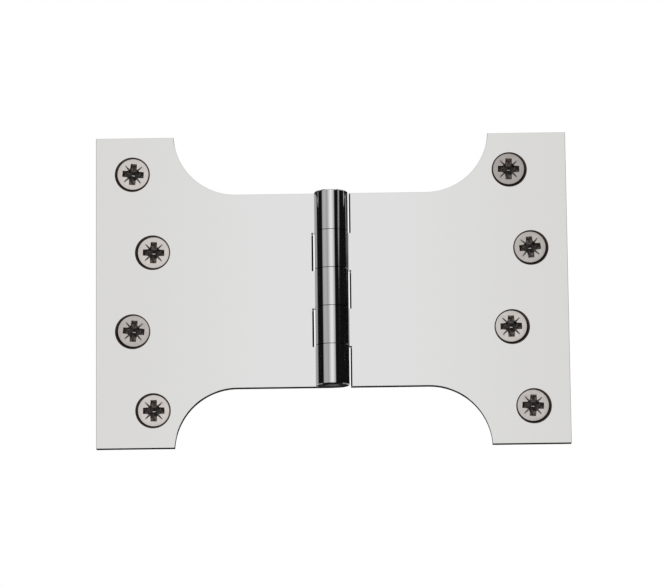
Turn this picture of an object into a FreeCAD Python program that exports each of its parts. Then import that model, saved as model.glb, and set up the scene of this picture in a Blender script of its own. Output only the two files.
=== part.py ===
"""Parliament hinge, opened flat: two leaves with interleaved knuckles, a pin and eight screws.

Frame, in millimetres: X to the right, Y into the surface the hinge is fixed to, Z up along the pin.
The origin is behind the pin, at mid height, on the plane of the backs of the leaves.
"""

import math
import os

import FreeCAD
import Part
import Sketcher

# Sizes of the hinge: name, value, meaning
SIZES = [
    ("leaf_height", 101.6, "height of a leaf, along the pin"),
    ("open_width", 152.4, "width over both leaves, opened flat"),
    ("plate_width", 25.2, "width of the plate that takes the screws"),
    ("neck_height", 63.3, "height of the neck, and length of the barrel"),
    ("scoop_radius", 20.2, "quarter-round scoop between plate and neck"),
    ("leaf_thickness", 3.3, "thickness of a leaf"),
    ("barrel_diameter", 10.8, "outside of the knuckles"),
    ("knuckle_length", 12.4, "pitch of the three inner knuckles"),
    ("knuckle_gap", 0.2, "end play between two knuckles"),
    ("left_notch_gap", 0.55, "gap from a knuckle to the notch in the left leaf"),
    ("right_notch_gap", 0.35, "gap from a knuckle to the notch in the right leaf"),
    ("notch_bevel", 0.5, "bevel on the front edges of the notches"),
    ("root_round", 0.4, "inside round where a leaf meets its knuckles"),
    ("edge_bevel", 0.1, "bevel on the edges of a leaf"),
    ("end_bevel", 0.3, "bevel on the ends of the barrel"),
    ("pin_diameter", 5, "hinge pin"),
    ("pin_grip", 0.01, "radial clearance in the leaf that holds the pin"),
    ("pin_play", 0.05, "radial clearance in the leaf that turns"),
    ("pin_inset", 0.2, "pin end below the end of the barrel"),
    ("outer_inset", 11.8, "outer column of screws from the outer edge"),
    ("inner_inset", 18.3, "inner column of screws from the outer edge"),
    ("screw_pitch", 25.8, "height from one screw to the next"),
    ("hole_diameter", 5.2, "clearance hole for a screw"),
    ("sink_angle", 90, "angle of the countersink and of the screw head"),
    ("head_diameter", 10.2, "screw head"),
    ("head_rim", 0.3, "upright rim of the screw head"),
    ("seat_play", 0.02, "clearance under the screw head"),
    ("shank_diameter", 4.8, "plain shank of the screw"),
    ("shank_length", 9, "plain shank behind the leaf"),
    ("core_diameter", 3.4, "core of the screw under its thread"),
    ("point_length", 5, "point of the screw"),
    ("screw_length", 32, "whole length of the screw"),
    ("recess_span", 6.9, "cross recess, tip to tip"),
    ("recess_arm", 2, "width of an arm of the cross"),
    ("recess_flank", 1.85, "where the slanted corner of the cross meets an arm"),
    ("recess_depth", 2.4, "depth of the cross recess"),
    ("recess_taper", 0.5, "length of the recess floor, as a share of its mouth"),
]

# Sizes that follow from the others: name, formula
DERIVED = [
    ("half_width", "open_width / 2"),
    ("half_height", "leaf_height / 2"),
    ("half_neck", "neck_height / 2"),
    ("plate_edge", "half_width - plate_width"),
    ("barrel_radius", "barrel_diameter / 2"),
    ("root_x", "sqrt(barrel_radius ^ 2 - (barrel_radius - leaf_thickness) ^ 2)"),
    ("scoop_x", "plate_edge - scoop_radius"),
    ("scoop_z", "half_neck + scoop_radius"),
    ("bay_z", "half_height + scoop_radius"),
    ("left_notch_x", "barrel_radius + left_notch_gap"),
    ("right_notch_x", "barrel_radius + right_notch_gap"),
    ("clear_x", "barrel_diameter"),
    ("seam_in", "knuckle_length / 2"),
    ("seam_out", "knuckle_length * 3 / 2"),
    ("seam_in_low", "seam_in - knuckle_gap / 2"),
    ("seam_in_high", "seam_in + knuckle_gap / 2"),
    ("seam_out_low", "seam_out - knuckle_gap / 2"),
    ("seam_out_high", "seam_out + knuckle_gap / 2"),
    ("free_turn", "360 - acos((barrel_radius - leaf_thickness) / barrel_radius) / 1 deg"),
    ("bevel_in", "barrel_radius - end_bevel"),
    ("bevel_out", "barrel_radius + end_bevel"),
    ("bevel_low", "half_neck - 2 * end_bevel"),
    ("held_bore", "pin_diameter / 2 + pin_grip"),
    ("loose_bore", "pin_diameter / 2 + pin_play"),
    ("pin_radius", "pin_diameter / 2"),
    ("pin_end", "half_neck - pin_inset"),
    ("outer_x", "half_width - outer_inset"),
    ("inner_x", "half_width - inner_inset"),
    ("near_row", "screw_pitch / 2"),
    ("far_row", "screw_pitch * 3 / 2"),
    ("half_hole", "hole_diameter / 2"),
    ("cone_slope", "tan(sink_angle * 1 deg / 2)"),
    ("head_radius", "head_diameter / 2"),
    ("shank_radius", "shank_diameter / 2"),
    ("sink_diameter", "shank_diameter + 2 * (leaf_thickness + seat_play) * cone_slope"),
    ("head_sink", "(sink_diameter / 2 - head_radius) / cone_slope - head_rim - seat_play"),
    ("head_y", "leaf_thickness - head_sink"),
    ("taper_y", "head_y + shank_length"),
    ("core_radius", "core_diameter / 2"),
    ("core_y", "taper_y + shank_radius - core_radius"),
    ("point_y", "screw_length - point_length"),
    ("arm_mouth", "recess_span / 2"),
    ("arm_floor", "arm_mouth * recess_taper"),
    ("flank_mouth", "(recess_flank + recess_arm / 2) / sqrt(2)"),
    ("flank_floor", "flank_mouth * recess_taper"),
    ("flank_width", "(recess_flank - recess_arm / 2) * sqrt(2)"),
]

# Screws of each leaf from the top: column, row, and how far the cross is turned, in degrees
SCREWS = {
    "left": [
        ("outer_x", "far_row", 5),
        ("inner_x", "near_row", 2),
        ("outer_x", "-near_row", 5),
        ("inner_x", "-far_row", 0),
    ],
    "right": [
        ("inner_x", "far_row", 1),
        ("outer_x", "near_row", -6),
        ("inner_x", "-near_row", -1),
        ("outer_x", "-far_row", 3),
    ],
}

# Notches of each leaf, where the other leaf has its knuckles: low and high ends
NOTCHES = {
    "left": [("seam_in_low", "seam_out_high"), ("-seam_out_high", "-seam_in_low")],
    "right": [
        ("seam_out_low", "bay_z"),
        ("-seam_in_high", "seam_in_high"),
        ("-bay_z", "-seam_out_low"),
    ],
}

SIDE = {"left": -1, "right": 1}
BORE = {"left": "held_bore", "right": "loose_bore"}
NEAR = 1e-4

doc = FreeCAD.newDocument("parliament_hinge")
sheet = doc.addObject("Spreadsheet::Sheet", "Sizes")
for row, (name, value, meaning) in enumerate(SIZES, start=1):
    sheet.set(f"A{row}", meaning)
    sheet.set(f"B{row}", str(value))
    sheet.setAlias(f"B{row}", name)
for row, (name, formula) in enumerate(DERIVED, start=len(SIZES) + 1):
    sheet.set(f"B{row}", "=" + formula)
    sheet.setAlias(f"B{row}", name)
doc.recompute()


def number(term):
    """Value in the sheet of a name that may carry a minus sign."""
    size = float(getattr(sheet, term.lstrip("-")))
    return -size if term.startswith("-") else size


def bound(term):
    """Expression for a name that may carry a minus sign."""
    return "-Sizes." + term[1:] if term.startswith("-") else "Sizes." + term


def flipped(term, sign):
    """The same name on the other side of zero where sign is negative."""
    if sign > 0:
        return term
    return term[1:] if term.startswith("-") else "-" + term


def new_body(label):
    """An empty body with its label."""
    body = doc.addObject("PartDesign::Body", label)
    body.Label = label
    return body


def new_sketch(body, name, role, offset=None):
    """A sketch on one of the body's origin planes, moved along its normal by a named size."""
    plane = next(item for item in body.Origin.OriginFeatures if item.Role == role)
    sketch = body.newObject("Sketcher::SketchObject", name)
    sketch.AttachmentSupport = [(plane, "")]
    sketch.MapMode = "FlatFace"
    if offset:
        sketch.setExpression("AttachmentOffset.Base.z", bound(offset))
    return sketch


def hold(sketch, edge, end, point):
    """Fixes one end of an edge at a point given by two names, or 0 for the axis itself."""
    for term, kind, axis in ((point[0], "DistanceX", -2), (point[1], "DistanceY", -1)):
        if term == "0":
            sketch.addConstraint(Sketcher.Constraint("PointOnObject", edge, end, axis))
        else:
            held = Sketcher.Constraint(kind, -1, 1, edge, end, number(term))
            index = sketch.addConstraint(held)
            sketch.setExpression(f"Constraints[{index}]", bound(term))


def vector(point):
    """A point given by two names, or 0, as a vector in the sketch."""
    return FreeCAD.Vector(*[0 if term == "0" else number(term) for term in point], 0)


def draw_loop(sketch, points, arc=None):
    """A closed loop through the points. arc is (index, radius, centre, anticlockwise) of its round edge."""
    edges = []
    for index, start in enumerate(points):
        stop = points[(index + 1) % len(points)]
        if arc and index == arc[0]:
            centre = vector(arc[2])
            first, last = (start, stop) if arc[3] else (stop, start)
            begin = math.atan2(vector(first).y - centre.y, vector(first).x - centre.x)
            finish = math.atan2(vector(last).y - centre.y, vector(last).x - centre.x)
            circle = Part.Circle(centre, FreeCAD.Vector(0, 0, 1), number(arc[1]))
            finish += 2 * math.pi if finish < begin else 0
            edge = sketch.addGeometry(Part.ArcOfCircle(circle, begin, finish))
            edges.append((edge, 1, 2) if arc[3] else (edge, 2, 1))
        else:
            edge = sketch.addGeometry(Part.LineSegment(vector(start), vector(stop)))
            edges.append((edge, 1, 2))
    for index, (edge, start_end, stop_end) in enumerate(edges):
        following = edges[(index + 1) % len(edges)]
        joined = Sketcher.Constraint("Coincident", edge, stop_end, following[0], following[1])
        sketch.addConstraint(joined)
        hold(sketch, edge, start_end, points[index])
    if arc:
        index = sketch.addConstraint(Sketcher.Constraint("Radius", edges[arc[0]][0], number(arc[1])))
        sketch.setExpression(f"Constraints[{index}]", bound(arc[1]))


def draw_circle(sketch, centre, radius):
    """A circle with its centre at a point given by two names."""
    circle = Part.Circle(vector(centre), FreeCAD.Vector(0, 0, 1), number(radius))
    edge = sketch.addGeometry(circle)
    hold(sketch, edge, 3, centre)
    index = sketch.addConstraint(Sketcher.Constraint("Radius", edge, number(radius)))
    sketch.setExpression(f"Constraints[{index}]", bound(radius))


def cut_through(body, sketch, name):
    """Cuts the sketch through the whole body, both ways."""
    pocket = body.newObject("PartDesign::Pocket", name)
    pocket.Profile = sketch
    pocket.Type = "ThroughAll"
    pocket.SideType = "Symmetric"
    doc.recompute()


def ease_edges(body, kind, name, size, chosen):
    """Eases the edges for which chosen is true, by a fillet's radius or a chamfer's size."""
    base = body.Tip
    names = [f"Edge{i}" for i, edge in enumerate(base.Shape.Edges, start=1) if chosen(edge)]
    eased = body.newObject(f"PartDesign::{kind}", name)
    eased.Base = (base, names)
    eased.setExpression({"Fillet": "Radius", "Chamfer": "Size"}[kind], bound(size))
    doc.recompute()


def flat_at(edge, height):
    """Whether the whole edge lies in the plane Y = height."""
    box = edge.BoundBox
    return abs(box.YMin - height) < NEAR and abs(box.YMax - height) < NEAR


def stands_at(edge, across):
    """Whether the edge stands upright on the front of a leaf, at the named distance from the pin."""
    middle = edge.CenterOfMass
    in_line = abs(middle.x - number(across)) < NEAR
    return in_line and abs(middle.y + number("leaf_thickness")) < NEAR and edge.BoundBox.ZLength > NEAR


def is_outline(edge):
    """Whether the edge bounds the front, the back or an end of the barrel, and isn't a smooth seam."""
    box = edge.BoundBox
    upright = box.ZLength > NEAR and box.XLength < NEAR and box.YLength < NEAR
    if upright and max(abs(box.XMin), abs(box.XMax)) < number("clear_x"):
        return False
    if flat_at(edge, 0) or flat_at(edge, -number("leaf_thickness")):
        return True
    at_end = abs(abs(box.ZMin) - number("half_neck")) < NEAR and box.ZLength < NEAR
    return at_end and edge.Curve.TypeId == "Part::GeomCircle"


def bevel_ends(body):
    """Turns a bevel on both ends of the barrel, from the back of the leaf round to its front."""
    corners = new_sketch(body, "end_corners", "YZ_Plane")
    corners.setExpression("AttachmentOffset.Base.x", bound("-barrel_radius"))
    for up in (1, -1):
        outside = [
            ("bevel_in", flipped("half_neck", up)),
            ("bevel_out", flipped("half_neck", up)),
            ("bevel_out", flipped("bevel_low", up)),
        ]
        draw_loop(corners, outside)
    groove = body.newObject("PartDesign::Groove", "end_bevels")
    groove.Profile = corners
    groove.ReferenceAxis = (corners, ["V_Axis"])
    groove.Reversed = True
    groove.setExpression("Angle", bound("free_turn"))
    doc.recompute()


def make_leaf(name):
    """One leaf: a drawn section with plate and barrel, blanked, notched, bored and countersunk."""
    sign = SIDE[name]
    body = new_body(f"{name}_leaf")

    section = new_sketch(body, f"{name}_section", "XY_Plane")
    outer = flipped("half_width", sign)
    corners = [
        ("0", "0"),
        (outer, "0"),
        (outer, "-leaf_thickness"),
        (flipped("root_x", sign), "-leaf_thickness"),
    ]
    draw_loop(section, corners, (3, "barrel_radius", ("0", "-barrel_radius"), sign < 0))
    bar = body.newObject("PartDesign::Pad", f"{name}_bar")
    bar.Profile = section
    bar.SideType = "Symmetric"
    bar.setExpression("Length", bound("leaf_height"))
    doc.recompute()
    root = flipped("root_x", sign)
    ease_edges(body, "Fillet", f"{name}_root", "root_round", lambda edge: stands_at(edge, root))

    bays = new_sketch(body, f"{name}_bays", "XZ_Plane")
    beyond = flipped("-clear_x", sign)
    for up in (1, -1):
        corners = [
            (beyond, flipped("half_neck", up)),
            (flipped("scoop_x", sign), flipped("half_neck", up)),
            (flipped("plate_edge", sign), flipped("scoop_z", up)),
            (flipped("plate_edge", sign), flipped("bay_z", up)),
            (beyond, flipped("bay_z", up)),
        ]
        centre = (flipped("scoop_x", sign), flipped("scoop_z", up))
        draw_loop(bays, corners, (1, "scoop_radius", centre, sign * up > 0))
    cut_through(body, bays, f"{name}_blanking")
    ease_edges(body, "Chamfer", f"{name}_edges", "edge_bevel", is_outline)

    notches = new_sketch(body, f"{name}_notch_lines", "XZ_Plane")
    wall = flipped(f"{name}_notch_x", sign)
    for low, high in NOTCHES[name]:
        draw_loop(notches, [(wall, low), (beyond, low), (beyond, high), (wall, high)])
    cut_through(body, notches, f"{name}_notches")
    ease_edges(body, "Chamfer", f"{name}_notch_edges", "notch_bevel", lambda edge: stands_at(edge, wall))

    if name == "left":
        bevel_ends(body)

    bore = new_sketch(body, f"{name}_bore_line", "XY_Plane")
    draw_circle(bore, ("0", "-barrel_radius"), BORE[name])
    cut_through(body, bore, f"{name}_bore")

    marks = new_sketch(body, f"{name}_hole_marks", "XZ_Plane", "leaf_thickness")
    for column, row, turn in SCREWS[name]:
        draw_circle(marks, (flipped(column, sign), row), "half_hole")
    doc.recompute()
    holes = body.newObject("PartDesign::Hole", f"{name}_holes")
    holes.Profile = marks
    holes.DepthType = "ThroughAll"
    holes.HoleCutType = "Countersink"
    holes.HoleCutCustomValues = True
    holes.setExpression("Diameter", bound("hole_diameter"))
    holes.setExpression("HoleCutDiameter", bound("sink_diameter"))
    holes.setExpression("HoleCutCountersinkAngle", bound("sink_angle"))
    doc.recompute()
    return body


def make_pin():
    """The pin, a turned rod that ends just inside the barrel."""
    body = new_body("hinge_pin")
    body.setExpression("Placement.Base.y", bound("-barrel_radius"))
    profile = new_sketch(body, "pin_profile", "XZ_Plane")
    corners = [
        ("0", "-pin_end"),
        ("pin_radius", "-pin_end"),
        ("pin_radius", "pin_end"),
        ("0", "pin_end"),
    ]
    draw_loop(profile, corners)
    turned = body.newObject("PartDesign::Revolution", "pin_turned")
    turned.Profile = profile
    turned.ReferenceAxis = (profile, ["V_Axis"])
    doc.recompute()
    return body


def make_screw():
    """One countersunk screw along Y, its head at the origin, with a tapered cross recess."""
    body = new_body("screw")
    profile = new_sketch(body, "screw_profile", "XY_Plane")
    corners = [
        ("0", "0"),
        ("head_radius", "0"),
        ("head_radius", "head_rim"),
        ("shank_radius", "head_y"),
        ("shank_radius", "taper_y"),
        ("core_radius", "core_y"),
        ("core_radius", "point_y"),
        ("0", "screw_length"),
    ]
    draw_loop(profile, corners)
    turned = body.newObject("PartDesign::Revolution", "screw_turned")
    turned.Profile = profile
    turned.ReferenceAxis = (profile, ["V_Axis"])
    doc.recompute()

    upright = next(item for item in body.Origin.OriginFeatures if item.Role == "Y_Axis")
    for blade, width, turn in (("arm", "recess_arm", 0), ("flank", "flank_width", 45)):
        outline = new_sketch(body, f"recess_{blade}", "XY_Plane")
        outline.AttachmentOffset.Rotation = FreeCAD.Rotation(FreeCAD.Vector(0, 1, 0), turn)
        mouth, floor = f"{blade}_mouth", f"{blade}_floor"
        corners = [
            (flipped(mouth, -1), "0"),
            (mouth, "0"),
            (floor, "recess_depth"),
            (flipped(floor, -1), "recess_depth"),
        ]
        draw_loop(outline, corners)
        slot = body.newObject("PartDesign::Pocket", f"recess_{blade}_slot")
        slot.Profile = outline
        slot.SideType = "Symmetric"
        slot.setExpression("Length", bound(width))
        doc.recompute()
        crossed = body.newObject("PartDesign::PolarPattern", f"recess_{blade}_cross")
        crossed.Originals = [slot]
        crossed.Axis = (upright, [""])
        crossed.Angle = 90
        crossed.Occurrences = 2
        body.Tip = crossed
        doc.recompute()
    return body


def make_screws(name, screw):
    """The four screws of one leaf, as a group of separate solids."""
    links = []
    for index, (column, row, turn) in enumerate(SCREWS[name], start=1):
        link = doc.addObject("App::Link", f"{name}_screw_{index}")
        link.LinkedObject = screw
        link.Placement.Rotation = FreeCAD.Rotation(FreeCAD.Vector(0, 1, 0), turn)
        link.setExpression("Placement.Base.x", bound(flipped(column, SIDE[name])))
        link.setExpression("Placement.Base.y", bound("-head_y"))
        link.setExpression("Placement.Base.z", bound(row))
        links.append(link)
    group = doc.addObject("Part::Compound", f"{name}_leaf_screws")
    group.Label = f"{name}_leaf_screws"
    group.Links = links
    doc.recompute()
    return group


screw = make_screw()
pieces = [
    make_leaf("left"),
    make_leaf("right"),
    make_pin(),
    make_screws("left", screw),
    make_screws("right", screw),
]
doc.recompute()

for item in doc.Objects:
    if "Invalid" in item.State or "Error" in item.State:
        raise RuntimeError(f"{item.Label} did not build")
os.makedirs("parts", exist_ok=True)
for piece in pieces:
    if piece.Shape.isNull() or not piece.Shape.isValid():
        raise RuntimeError(f"{piece.Label} has no valid shape")
    piece.Shape.exportStep(f"parts/{piece.Label}.step")
    print(piece.Label, len(piece.Shape.Solids), round(piece.Shape.Volume, 1), piece.Shape.BoundBox)
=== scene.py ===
"""Studio scene of the polished parliament hinge: finishes, threaded screws, soft boxes, floor, camera.

Everything is in metres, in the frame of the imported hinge: X right, Y into the wall, Z up along the pin.
"""

import math

import bmesh
import bpy
from mathutils import Matrix, Vector
from mathutils.geometry import delaunay_2d_cdt


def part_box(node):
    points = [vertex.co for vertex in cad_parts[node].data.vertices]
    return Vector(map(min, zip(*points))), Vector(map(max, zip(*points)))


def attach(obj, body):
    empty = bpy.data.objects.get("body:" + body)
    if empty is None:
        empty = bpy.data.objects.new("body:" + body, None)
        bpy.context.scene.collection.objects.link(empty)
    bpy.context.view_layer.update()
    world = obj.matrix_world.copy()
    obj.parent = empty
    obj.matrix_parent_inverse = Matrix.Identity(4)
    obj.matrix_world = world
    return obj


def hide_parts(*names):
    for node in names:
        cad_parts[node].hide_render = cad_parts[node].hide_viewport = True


MM = 0.001
SIDES = {"left": -1, "right": 1}

# Camera: where it looks, how far it stands, its angles in degrees, its scale and how far it sees
TARGET = Vector((0.197, -5.5, -1.678)) * MM
DISTANCE = 1.2
AZIMUTH = 0.872
ELEVATION = -9.7
ROLL = -0.642
IMAGE_WIDTH = 665
PIXELS_PER_METRE = 3105.6
SENSOR_WIDTH = 36
SIGHT = 20

# Light boxes as the hinge sees them, in degrees: azimuths of their sides, counted from the front,
# elevations of their lower and upper edge, blur of the sides and of the edges, and then their brightness
BOXES = {
    "key": ((-26, 22), (-14, 60), (3.5, 3.5), 0.62),
    "key_glow": ((-14, 11), (-3, 24), (10, 10), 0.50),
    "left": ((-63, -27), (-45, 55), (4, 4), 0.55),
    "left_glow": ((-50, -41), (11, 55), (4, 4), 0.18),
    "left_low": ((-114, -66), (-46, 1), (4, 4), 0.60),
    "right_strip": ((51, 60), (11, 50), (1, 1), 0.60),
    "right_strip_low": ((48, 53), (10.3, 11), (0.5, 0.5), 0.60),
    "right_low": ((66, 114), (-9, 1), (4, 2), 0.75),
    "right_front_low": ((25, 66), (-42, -3), (4, 4), 0.55),
    "front_mid": ((-27, 25), (-46, -18), (4, 4), 0.50),
    "front_low": ((-75, 75), (-69, -46), (3, 3), 0.40),
    "zenith": ((-200, 200), (66, 120), (4, 4), 0.75),
    "side_high_right": ((74, 124), (23, 66), (3, 3), 0.60),
    "side_high_left": ((-116, -74), (23, 66), (3, 3), 0.60),
    "back_right": ((114, 152), (-24, -8), (4, 4), 0.70),
    "back_left": ((-154, -116), (14, 52), (4, 4), 0.70),
    "back_left_low": ((-152, -114), (-24, -8), (4, 4), 0.70),
    "back_deep_right": ((114, 152), (-60, -24), (4, 4), 0.30),
    "back_deep_left": ((-152, -114), (-60, -24), (4, 4), 0.30),
    "back_high_right": ((124, 200), (24, 60), (4, 4), 0.55),
    "back_high_left": ((-200, -160), (24, 60), (4, 4), 0.55),
    "behind_right": ((152, 200), (-66, -9.4), (4, 0.2), 0.75),
    "behind_left": ((-200, -152), (-66, -9.4), (4, 0.2), 0.75),
    "behind_high_right": ((172, 200), (11.3, 17), (0.3, 0.3), 1.0),
    "behind_high_left": ((-200, -172), (11.3, 17), (0.3, 0.3), 1.0),
}
ROOM = 0.008
BACKDROP = (1, 1, 1, 1)

# Floor, below everything that the camera frames, and the lamp above it
FLOOR_DROP = 0.26
FLOOR_RADIUS = 1.0
FLOOR_FADE = (0.5, 0.95)
FLOOR_TINT = (0.86, 0.86, 0.85, 1)
FLOOR_ROUGHNESS = 0.9
LAMP_HEIGHT = 1.1
LAMP_SIZE = 1.4
LAMP_POWER = 26

# Chrome: tint from the barrel outwards and over which distance it changes, and its gloss.
# A noise is given by its scale and detail, a bump by its strength and height.
CHROME_INNER = (0.82, 0.82, 0.82, 1)
CHROME_OUTER = (0.771, 0.765, 0.75, 1)
CHROME_FADE = (10 * MM, 76 * MM)
CHROME_ROUGHNESS = 0.03
CLOUDS = (90.0, 3.0)
CLOUD_ROUGHNESS = 0.03
LINES = (1.0, 2.0)
LINE_STRETCH = (6000, 6000, 120)
LINE_ROUGHNESS = 0.02
LINE_BUMP = (0.05, 0.002 * MM)

# Holes in the chrome, dull and darkened with painted shade: radius of a countersink, how far it keeps off
# the leaf's back, the bore
SINK_RADIUS = 5.71 * MM
SINK_BACK = 0.03 * MM
BORE_RADIUS = 2.6 * MM
HOLE_SHADE_TINT = (0.17, 0.135, 0.12, 1)
HOLE_ROUGHNESS = 0.4

# Steel of the pin
STEEL_TINT = (0.45, 0.45, 0.44, 1)
STEEL_GRAIN = (2500.0, 2.0)
STEEL_ROUGHNESS = 0.08
STEEL_GRAIN_ROUGHNESS = 0.08
STEEL_BUMP = (0.03, 0.005 * MM)

# Nickel of the screws: the two tints of its blotches, and its gloss
NICKEL_TINTS = ((0.78, 0.72, 0.682, 1), (0.91, 0.855, 0.817, 1))
NICKEL_BLOTCH = (350.0, 2.0)
NICKEL_GRAIN = (1400.0, 4.0)
NICKEL_ROUGHNESS = 0.22
NICKEL_GRAIN_ROUGHNESS = 0.16
NICKEL_BUMP = (0.25, 0.01 * MM)

# Painted shade on the metal in the recess and the ticks: the two tints of its mottle, and how it darkens
# to the middle, with the upright arms lighter than the level ones
RECESS_SHADE_TINTS = ((0.085, 0.069, 0.060, 1), (0.46, 0.39, 0.36, 1))
TICK_SHADE_TINTS = ((0.12, 0.10, 0.09, 1), (0.30, 0.26, 0.24, 1))
SHADE_GRAIN = (1100.0, 3.0)
SHADE_MOTTLE = (0.4, 0.64)
SHADE_METALLIC = 0.5
SHADE_ROUGHNESS = 0.5
SHADE_REACH = (1.0 * MM, 2.2 * MM)
SHADE_MIDDLE = 0.15
SHADE_UPRIGHT = 1
SHADE_LEVEL = 0.6

# Screws: head, shank, core and point
HEAD_RADIUS = 5.1 * MM
HEAD_RIM = 0.3 * MM
RIM_ROUND = 0.12 * MM
RIM_STEPS = 5
SHANK_RADIUS = 2.4 * MM
SHANK_START = 3.0 * MM
SHANK_END = 12 * MM
CORE_RADIUS = 1.7 * MM
CORE_START = 12.7 * MM
POINT_START = 27 * MM
SCREW_LENGTH = 32 * MM
ROUND = 96

# Cross recess: corners of an arm, its taper down to the floor, and the flat dimple in the floor
ARMS = 4
ARM_TIP = (3.48 * MM, 1.0 * MM)
ARM_ROOT = (1.9 * MM, 1.1 * MM)
RECESS_TAPER = 0.86
RECESS_DEPTH = 2.3 * MM
DIMPLE_SIZE = (0.55 * MM, 0.12 * MM)
DIMPLE_START = 2.35 * MM
DIMPLE_END = 2.4 * MM

# Tick marks between the arms: wedges cut into the head, deepest along a line to a share of their length
TICK_NEAR = 2.16 * MM
TICK_FAR = 3.85 * MM
TICK_WIDTHS = (0.62 * MM, 0.26 * MM)
TICK_DEPTH = 0.16 * MM
TICK_DEEP_SHARE = 0.75

# Thread: pitch, where it has risen and faded, and its profile as shares of the pitch and the height
THREAD_PITCH = 2.1 * MM
THREAD_FADE_IN = 14 * MM
THREAD_FADE_OUT = 31.5 * MM
THREAD_PROFILE = [(0, 0), (0.38, 0), (0.57, 1), (0.63, 1), (0.82, 0)]

# Building the screw's mesh: material places, nearest distances in it, and the angle of a sharp edge
NICKEL, RECESS, TICK = range(3)
MERGE_NEAR = 0.001 * MM
SLIVER_NEAR = 0.0005 * MM
SHARP_ANGLE = math.radians(32)

# Dividing the flat top of the head: nearest points, in millimetres, and Blender's number for insides only
FLAT_NEAR = 1e-5
INSIDE_OUTLINES = 1

# Each screw from the top down: turn of its cross in degrees, clockwise from the front, its tone,
# and how far it sits off the middle of its hole, to the right and up, in millimetres
TURNS = {"left": (5, 2, 5, 0), "right": (1, -6, -1, 3)}
TONES = {"left": (1.0, 1.0, 0.8, 1.03), "right": (0.66, 0.8, 0.97, 0.89)}
SEATS = {
    "left": ((0.2, 0.15), (0.3, 0.05), (0.3, 0.2), (0.2, 0.05)),
    "right": ((-0.2, 0.25), (-0.25, 0.2), (-0.3, 0.2), (-0.25, 0.2)),
}
OUTER_FIRST = {"left": True, "right": False}

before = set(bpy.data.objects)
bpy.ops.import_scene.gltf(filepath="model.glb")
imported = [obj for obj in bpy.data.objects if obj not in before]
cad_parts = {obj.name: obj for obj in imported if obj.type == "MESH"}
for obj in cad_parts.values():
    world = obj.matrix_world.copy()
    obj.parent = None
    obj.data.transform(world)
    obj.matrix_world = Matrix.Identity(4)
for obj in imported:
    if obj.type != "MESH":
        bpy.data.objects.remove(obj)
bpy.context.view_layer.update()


def make_camera():
    """The camera at the photograph's angle, a long lens from a little below."""
    azimuth, elevation, roll = (math.radians(angle) for angle in (AZIMUTH, ELEVATION, ROLL))
    flat = math.cos(elevation)
    back = Vector((math.sin(azimuth) * flat, -math.cos(azimuth) * flat, math.sin(elevation)))
    right = Vector((math.cos(azimuth), math.sin(azimuth), 0))
    up = back.cross(right)
    axes = Matrix((right, up, back)).transposed() @ Matrix.Rotation(roll, 3, "Z")
    data = bpy.data.cameras.new("camera")
    data.sensor_width = SENSOR_WIDTH
    data.lens = PIXELS_PER_METRE * DISTANCE * SENSOR_WIDTH / IMAGE_WIDTH
    data.clip_end = SIGHT
    camera = bpy.data.objects.new("camera", data)
    camera.matrix_world = Matrix.Translation(TARGET + back * DISTANCE) @ axes.to_4x4()
    bpy.context.scene.collection.objects.link(camera)
    bpy.context.scene.camera = camera


class Nodes:
    """A node tree being built: each call adds a node, with links or plain values on its sockets."""

    def __init__(self, tree):
        self.tree = tree
        tree.nodes.clear()

    def add(self, kind, settings=None, **sockets):
        """One node. Sockets are named by their label, with _ for a space, or by place as s0, s1, s2."""
        node = self.tree.nodes.new(kind)
        for name, value in (settings or {}).items():
            setattr(node, name, value)
        for name, value in sockets.items():
            by_place = name[0] == "s" and name[1:].isdigit()
            socket = node.inputs[int(name[1:]) if by_place else name.replace("_", " ")]
            if isinstance(value, bpy.types.NodeSocket):
                self.tree.links.new(value, socket)
            else:
                socket.default_value = value
        return node

    def math(self, operation, *values):
        """A Math node's result."""
        sockets = {f"s{place}": value for place, value in enumerate(values)}
        return self.add("ShaderNodeMath", {"operation": operation}, **sockets).outputs[0]

    def ramp(self, value, low, high, start=0.0, end=1.0):
        """A smooth step from start to end as the value goes from low to high."""
        node = self.add(
            "ShaderNodeMapRange",
            {"interpolation_type": "SMOOTHSTEP"},
            Value=value,
            From_Min=low,
            From_Max=high,
            To_Min=start,
            To_Max=end,
        )
        return node.outputs["Result"]

    def window(self, value, sides, blur):
        """One between the two sides, nothing outside them, with blurred edges."""
        low, high = sides
        rise = self.ramp(value, low - blur, low + blur)
        fall = self.ramp(value, high - blur, high + blur, 1, 0)
        return self.math("MULTIPLY", rise, fall)

    def blend(self, share, first, second):
        """A colour between two others."""
        mix = self.add("ShaderNodeMix", {"data_type": "RGBA"}, s0=share, s6=first, s7=second)
        return mix.outputs[2]

    def place(self):
        """Where a point lies on its object."""
        return self.add("ShaderNodeTexCoord").outputs["Object"]

    def parts(self, vector):
        """The X, Y and Z of a vector."""
        return self.add("ShaderNodeSeparateXYZ", Vector=vector).outputs

    def distance(self, first, second):
        """How far two points are apart."""
        between = self.add("ShaderNodeVectorMath", {"operation": "DISTANCE"}, s0=first, s1=second)
        return between.outputs["Value"]

    def noise(self, vector, scale, detail):
        """A noise pattern."""
        return self.add("ShaderNodeTexNoise", Vector=vector, Scale=scale, Detail=detail).outputs[0]

    def bump(self, pattern, strength, height):
        """A normal that follows a pattern."""
        node = self.add("ShaderNodeBump", Strength=strength, Distance=height, Height=pattern)
        return node.outputs[0]

    def surface(self, **sockets):
        """The material's one shader, joined to its output."""
        shader = self.add("ShaderNodeBsdfPrincipled", **sockets)
        self.add("ShaderNodeOutputMaterial", Surface=shader.outputs[0])


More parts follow.
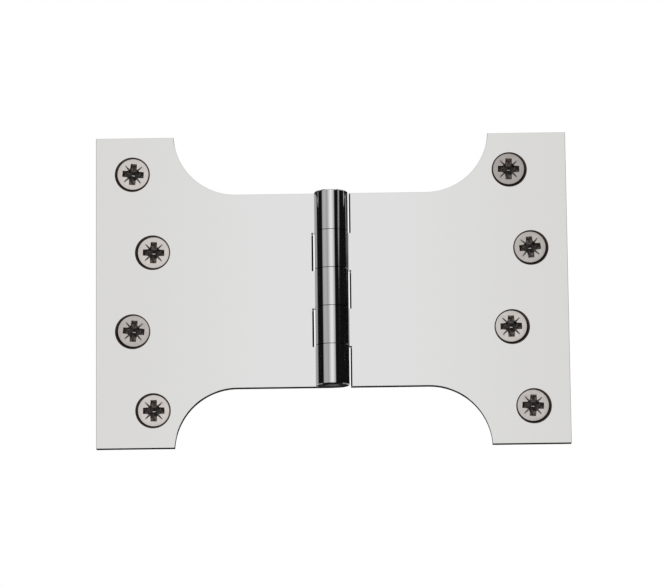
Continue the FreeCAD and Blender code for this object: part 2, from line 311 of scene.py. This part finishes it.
def make_world():
    """A white backdrop for the camera, and a dark room with soft boxes for all that reflects it."""
    world = bpy.data.worlds.new("studio")
    world.use_nodes = True
    nodes = Nodes(world.node_tree)
    toward = nodes.parts(nodes.add("ShaderNodeTexCoord").outputs["Generated"])
    ahead = nodes.math("MULTIPLY", toward["Y"], -1.0)
    azimuth = nodes.math("DEGREES", nodes.math("ARCTAN2", toward["X"], ahead))
    elevation = nodes.math("DEGREES", nodes.math("ARCSINE", toward["Z"]))
    light = ROOM
    for sides, edges, (side_blur, edge_blur), brightness in BOXES.values():
        across = nodes.window(azimuth, sides, side_blur)
        upward = nodes.window(elevation, edges, edge_blur)
        light = nodes.math("MULTIPLY_ADD", nodes.math("MULTIPLY", across, upward), brightness, light)
    boxes = nodes.add("ShaderNodeBackground", Strength=light).outputs[0]
    backdrop = nodes.add("ShaderNodeBackground", Color=BACKDROP).outputs[0]
    seen = nodes.add("ShaderNodeLightPath").outputs["Is Camera Ray"]
    mixed = nodes.add("ShaderNodeMixShader", s0=seen, s1=boxes, s2=backdrop).outputs[0]
    nodes.add("ShaderNodeOutputWorld", Surface=mixed)
    bpy.context.scene.world = world
    bpy.context.scene.view_settings.view_transform = "Standard"


def new_material(name):
    """An empty material and its node builder."""
    material = bpy.data.materials.new(name)
    material.use_nodes = True
    return material, Nodes(material.node_tree)


def make_paper():
    """Pale paper for the floor, which fades out towards the floor's rim."""
    material, nodes = new_material("pale_floor")
    away = nodes.distance(nodes.place(), (0, 0, 0))
    shown = nodes.ramp(away, *FLOOR_FADE, 1, 0)
    nodes.surface(Base_Color=FLOOR_TINT, Roughness=FLOOR_ROUGHNESS, Alpha=shown)
    return material


def make_floor():
    """A pale round floor that fades out into the backdrop."""
    mesh = bpy.data.meshes.new("floor")
    shape = bmesh.new()
    bmesh.ops.create_circle(shape, cap_ends=True, segments=ROUND, radius=FLOOR_RADIUS)
    shape.to_mesh(mesh)
    shape.free()
    mesh.materials.append(make_paper())
    floor = bpy.data.objects.new("floor", mesh)
    floor.location.z = -FLOOR_DROP
    floor.visible_glossy = False
    bpy.context.scene.collection.objects.link(floor)


def make_lamp():
    """A wide lamp that lights the floor from above, and that nothing reflects."""
    data = bpy.data.lights.new("lamp", "AREA")
    data.size = LAMP_SIZE
    data.energy = LAMP_POWER
    lamp = bpy.data.objects.new("lamp", data)
    lamp.location.z = LAMP_HEIGHT
    lamp.visible_glossy = False
    lamp.visible_camera = False
    bpy.context.scene.collection.objects.link(lamp)


def screw_places(side):
    """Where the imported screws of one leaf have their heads, from the top down."""
    sign = SIDES[side]
    low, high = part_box(f"{side}_leaf_screws")
    near, far = sorted((abs(low.x), abs(high.x)))
    columns = [sign * (far - HEAD_RADIUS), sign * (near + HEAD_RADIUS)]
    if not OUTER_FIRST[side]:
        columns.reverse()
    top = high.z - HEAD_RADIUS
    last = len(TURNS[side]) - 1
    places = []
    for index in range(last + 1):
        height = top * (1 - 2 * index / last)
        places.append(Vector((columns[index % len(columns)], low.y, height)))
    return places


def hole_shade_mask(nodes, parts, side):
    """One on the walls of the leaf's countersinks and bore, where shade is painted, nothing elsewhere."""
    flat = nodes.add("ShaderNodeCombineXYZ", X=parts["X"], Z=parts["Z"]).outputs[0]
    away = [nodes.distance(flat, (place.x, 0, place.z)) for place in screw_places(side)]
    nearest = away[0]
    for gap in away[1:]:
        nearest = nodes.math("MINIMUM", nearest, gap)
    inside = nodes.math("LESS_THAN", nearest, SINK_RADIUS)
    in_front = nodes.math("LESS_THAN", parts["Y"], -SINK_BACK)
    sunk = nodes.math("MULTIPLY", inside, in_front)
    low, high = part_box("hinge_pin")
    axis = ((low.x + high.x) / 2, (low.y + high.y) / 2, 0)
    level = nodes.add("ShaderNodeCombineXYZ", X=parts["X"], Y=parts["Y"]).outputs[0]
    bored = nodes.math("LESS_THAN", nodes.distance(level, axis), BORE_RADIUS)
    return nodes.math("MAXIMUM", sunk, bored)


def make_chrome(side):
    """Polished chrome plate: faint upright polishing lines, soft clouds in the gloss, and dull holes
    darkened with painted shade.
    """
    material, nodes = new_material(f"polished_chrome_{side}")
    place = nodes.place()
    parts = nodes.parts(place)
    along = nodes.add("ShaderNodeMapping", s0=place, Scale=LINE_STRETCH).outputs[0]
    lines = nodes.noise(along, *LINES)
    clouds = nodes.noise(place, *CLOUDS)
    hole = hole_shade_mask(nodes, parts, side)
    outward = nodes.ramp(nodes.math("ABSOLUTE", parts["X"]), *CHROME_FADE)
    tint = nodes.blend(outward, CHROME_INNER, CHROME_OUTER)
    gloss = nodes.math("MULTIPLY_ADD", clouds, CLOUD_ROUGHNESS, CHROME_ROUGHNESS)
    gloss = nodes.math("MULTIPLY_ADD", lines, LINE_ROUGHNESS, gloss)
    # Painted shade: the countersinks and bore get a dark dull tint in place of the chrome
    nodes.surface(
        Base_Color=nodes.blend(hole, tint, HOLE_SHADE_TINT),
        Metallic=1.0,
        Roughness=nodes.math("MULTIPLY_ADD", hole, HOLE_ROUGHNESS, gloss),
        Normal=nodes.bump(lines, *LINE_BUMP),
    )
    return material


def make_steel():
    """Ground steel of the pin, with a fine grain."""
    material, nodes = new_material("ground_steel")
    grain = nodes.noise(nodes.place(), *STEEL_GRAIN)
    nodes.surface(
        Base_Color=STEEL_TINT,
        Metallic=1.0,
        Roughness=nodes.math("MULTIPLY_ADD", grain, STEEL_GRAIN_ROUGHNESS, STEEL_ROUGHNESS),
        Normal=nodes.bump(grain, *STEEL_BUMP),
    )
    return material


def make_nickel():
    """Satin nickel of the screws, with a faint uneven grain and each screw's own tone."""
    material, nodes = new_material("satin_nickel")
    place = nodes.place()
    grain = nodes.noise(place, *NICKEL_GRAIN)
    tint = nodes.blend(nodes.noise(place, *NICKEL_BLOTCH), *NICKEL_TINTS)
    own = nodes.add("ShaderNodeObjectInfo").outputs["Color"]
    toned = nodes.add("ShaderNodeVectorMath", {"operation": "MULTIPLY"}, s0=tint, s1=own)
    nodes.surface(
        Base_Color=toned.outputs[0],
        Metallic=1.0,
        Roughness=nodes.math("MULTIPLY_ADD", grain, NICKEL_GRAIN_ROUGHNESS, NICKEL_ROUGHNESS),
        Normal=nodes.bump(grain, *NICKEL_BUMP),
    )
    return material


def make_painted_shade(name, tints):
    """Painted shade on metal where little light comes in: mottled between two tints, darkest in the
    middle, with the level arms painted darker than the upright ones.
    """
    material, nodes = new_material(name)
    place = nodes.place()
    parts = nodes.parts(place)
    mottle = nodes.ramp(nodes.noise(place, *SHADE_GRAIN), *SHADE_MOTTLE)
    tint = nodes.blend(mottle, *tints)
    # Painted shade: darker towards the middle, and the level arms darker than the upright ones
    up = nodes.math("ABSOLUTE", parts["Z"])
    across = nodes.math("ABSOLUTE", parts["X"])
    upright = nodes.ramp(up, *SHADE_REACH, SHADE_MIDDLE, SHADE_UPRIGHT)
    level = nodes.ramp(across, *SHADE_REACH, SHADE_MIDDLE, SHADE_LEVEL)
    lit = nodes.math("MAXIMUM", upright, level)
    shaded = nodes.add("ShaderNodeVectorMath", {"operation": "SCALE"}, s0=tint, Scale=lit)
    nodes.surface(
        Base_Color=shaded.outputs[0],
        Metallic=SHADE_METALLIC,
        Roughness=SHADE_ROUGHNESS,
    )
    return material


def turned(point, quarters):
    """A flat point turned by a number of quarter turns."""
    x, z = point
    for _ in range(quarters):
        x, z = -z, x
    return x, z


def recess_loop(scale):
    """Outline of the cross recess: four arms joined by slanted corners."""
    arm = [ARM_TIP, ARM_ROOT, ARM_ROOT[::-1], ARM_TIP[::-1]]
    loop = [turned(point, quarters) for quarters in range(ARMS) for point in arm]
    return [(x * scale, z * scale) for x, z in loop]


def dimple_loop():
    """Outline of the flat dimple, with a point for each corner of the recess."""
    width, height = DIMPLE_SIZE
    ways = [Vector(point).normalized() for point in recess_loop(1)]
    return [(way.x * width, way.y * height) for way in ways]


def tick_loop(quarters):
    """Outline of one tick mark on a diagonal of the head."""
    near, far = (width / 2 for width in TICK_WIDTHS)
    corners = [(TICK_NEAR, -near), (TICK_FAR, -far), (TICK_FAR, far), (TICK_NEAR, near)]
    slope = math.sqrt(0.5)
    slanted = [((x - z) * slope, (x + z) * slope) for x, z in corners]
    return [turned(point, quarters) for point in slanted]


def circle(radius):
    """Points around a circle."""
    angles = [2 * math.pi * step / ROUND for step in range(ROUND)]
    return [(radius * math.cos(angle), radius * math.sin(angle)) for angle in angles]


def ring(shape, points, depth):
    """New vertices at flat points, all at one depth along the screw."""
    return [shape.verts.new((x, depth, z)) for x, z in points]


def bridge(shape, first, second, material=NICKEL):
    """A band of faces between two rings of as many vertices."""
    count = len(first)
    for step in range(count):
        after = (step + 1) % count
        face = shape.faces.new((first[step], first[after], second[after], second[step]))
        face.material_index = material


def make_top(shape, rim, recess, ticks):
    """The flat top of the head, a triangulated sheet around the recess and the tick marks."""
    loops = [rim, recess, *ticks]
    verts = [vert for loop in loops for vert in loop]
    outlines = []
    for loop in loops:
        first = sum(len(outline) for outline in outlines)
        outlines.append(list(range(first, first + len(loop))))
    flat = [Vector((vert.co.x, vert.co.z)) / MM for vert in verts]
    made = delaunay_2d_cdt(flat, [], outlines, INSIDE_OUTLINES, FLAT_NEAR)
    _, _, triangles, sources, _, owners = made
    for triangle, inside in zip(triangles, owners):
        if inside == [0]:
            shape.faces.new([verts[sources[index][0]] for index in triangle])


def make_recess(shape, mouth):
    """The walls, floor and dimple of the cross recess."""
    floor = ring(shape, recess_loop(RECESS_TAPER), RECESS_DEPTH)
    bridge(shape, mouth, floor, RECESS)
    dimple = ring(shape, dimple_loop(), DIMPLE_START)
    bridge(shape, floor, dimple, RECESS)
    foot = shape.verts.new((0, DIMPLE_END, 0))
    for step, vert in enumerate(dimple):
        shape.faces.new((vert, dimple[(step + 1) % len(dimple)], foot))


def make_tick(shape, tick):
    """One tick mark, a wedge that runs out towards the rim of the head."""
    down = Vector((0, TICK_DEPTH, 0))
    inner = (tick[0].co + tick[3].co) / 2
    outer = (tick[1].co + tick[2].co) / 2
    near = shape.verts.new(inner + down)
    far = shape.verts.new(inner.lerp(outer, TICK_DEEP_SHARE) + down)
    sheets = [
        (tick[0], tick[1], far, near),
        (tick[2], tick[3], near, far),
        (tick[1], tick[2], far),
        (tick[3], tick[0], near),
    ]
    for corners in sheets:
        shape.faces.new(corners).material_index = TICK


def make_head(shape):
    """The head and shank: top with recess and ticks, rounded rim, cone and plain shank."""
    rim = ring(shape, circle(HEAD_RADIUS - RIM_ROUND), 0)
    mouth = ring(shape, recess_loop(1), 0)
    ticks = [ring(shape, tick_loop(quarters), 0) for quarters in range(ARMS)]
    make_top(shape, rim, mouth, ticks)
    make_recess(shape, mouth)
    for tick in ticks:
        make_tick(shape, tick)
    profile = []
    for step in range(1, RIM_STEPS + 1):
        angle = math.pi / 2 * step / RIM_STEPS
        radius = HEAD_RADIUS - RIM_ROUND * (1 - math.sin(angle))
        profile.append((radius, RIM_ROUND * (1 - math.cos(angle))))
    profile += [(HEAD_RADIUS, HEAD_RIM), (SHANK_RADIUS, SHANK_START), (SHANK_RADIUS, SHANK_END)]
    last = rim
    for radius, depth in profile:
        following = ring(shape, circle(radius), depth)
        bridge(shape, last, following)
        last = following


def core_at(depth):
    """Radius under the thread."""
    if depth < CORE_START:
        share = (depth - SHANK_END) / (CORE_START - SHANK_END)
        return SHANK_RADIUS + (CORE_RADIUS - SHANK_RADIUS) * share
    if depth < POINT_START:
        return CORE_RADIUS
    return CORE_RADIUS * (SCREW_LENGTH - depth) / (SCREW_LENGTH - POINT_START)


def ridge_at(depth):
    """Height of the thread over the core."""
    full = SHANK_RADIUS - CORE_RADIUS
    rise = (depth - SHANK_END) / (THREAD_FADE_IN - SHANK_END)
    fall = (THREAD_FADE_OUT - depth) / (THREAD_FADE_OUT - POINT_START)
    return full * max(0, min(1, rise, fall))


def thread_row(shape, climb, lift):
    """Vertices of one row of the thread, which climbs by one pitch in a turn."""
    row = []
    for step in range(ROUND):
        depth = SHANK_END + (climb + step / ROUND) * THREAD_PITCH
        depth = max(SHANK_END, min(SCREW_LENGTH, depth))
        radius = core_at(depth) + lift * ridge_at(depth)
        angle = 2 * math.pi * step / ROUND
        row.append(shape.verts.new((radius * math.cos(angle), depth, radius * math.sin(angle))))
    return row


def make_thread(shape):
    """The thread from the end of the shank to the point, each row's end joined to the row a turn on."""
    turns = math.ceil((SCREW_LENGTH - SHANK_END) / THREAD_PITCH)
    grid = []
    for turn in range(-1, turns + 1):
        grid += [thread_row(shape, turn + phase, lift) for phase, lift in THREAD_PROFILE]
    last = len(grid) - 1
    for lower in range(last):
        row, above = grid[lower], grid[lower + 1]
        for step in range(ROUND - 1):
            shape.faces.new((row[step], row[step + 1], above[step + 1], above[step]))
        turn_on = min(lower + len(THREAD_PROFILE), last)
        turn_on_above = min(lower + 1 + len(THREAD_PROFILE), last)
        corners = (row[-1], grid[turn_on][0], grid[turn_on_above][0], above[-1])
        if turn_on != turn_on_above:
            shape.faces.new(corners)


def make_screw_mesh(materials):
    """One screw along Y with its head at the origin."""
    shape = bmesh.new()
    make_head(shape)
    make_thread(shape)
    bmesh.ops.remove_doubles(shape, verts=shape.verts, dist=MERGE_NEAR)
    bmesh.ops.dissolve_degenerate(shape, edges=shape.edges, dist=SLIVER_NEAR)
    bmesh.ops.recalc_face_normals(shape, faces=shape.faces)
    mesh = bpy.data.meshes.new("screw")
    shape.to_mesh(mesh)
    shape.free()
    mesh.shade_smooth()
    mesh.set_sharp_from_angle(angle=SHARP_ANGLE)
    for material in materials:
        mesh.materials.append(material)
    return mesh


def place_screws(mesh):
    """The four screws of each leaf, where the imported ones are, each with its own seat, turn and tone."""
    for side in SIDES:
        settings = zip(screw_places(side), SEATS[side], TURNS[side], TONES[side])
        for index, (place, (right, up), turn, tone) in enumerate(settings, start=1):
            screw = bpy.data.objects.new(f"{side}_screw_{index}", mesh)
            screw.color = (tone, tone, tone, 1)
            seat = place + Vector((right, 0, up)) * MM
            spin = Matrix.Rotation(math.radians(turn), 4, "Y")
            screw.matrix_world = Matrix.Translation(seat) @ spin
            bpy.context.scene.collection.objects.link(screw)
            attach(screw, side)
            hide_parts(f"{side}_leaf_screws")


def finish_node(name, material):
    """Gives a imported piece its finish."""
    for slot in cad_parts[name].material_slots:
        slot.material = material


make_camera()
make_world()
make_floor()
make_lamp()
for side in SIDES:
    finish_node(f"{side}_leaf", make_chrome(side))
finish_node("hinge_pin", make_steel())
# The recess and the tick marks get painted shade
recess_shade = make_painted_shade("recess_painted_shade", RECESS_SHADE_TINTS)
tick_shade = make_painted_shade("tick_shade", TICK_SHADE_TINTS)
place_screws(make_screw_mesh([make_nickel(), recess_shade, tick_shade]))
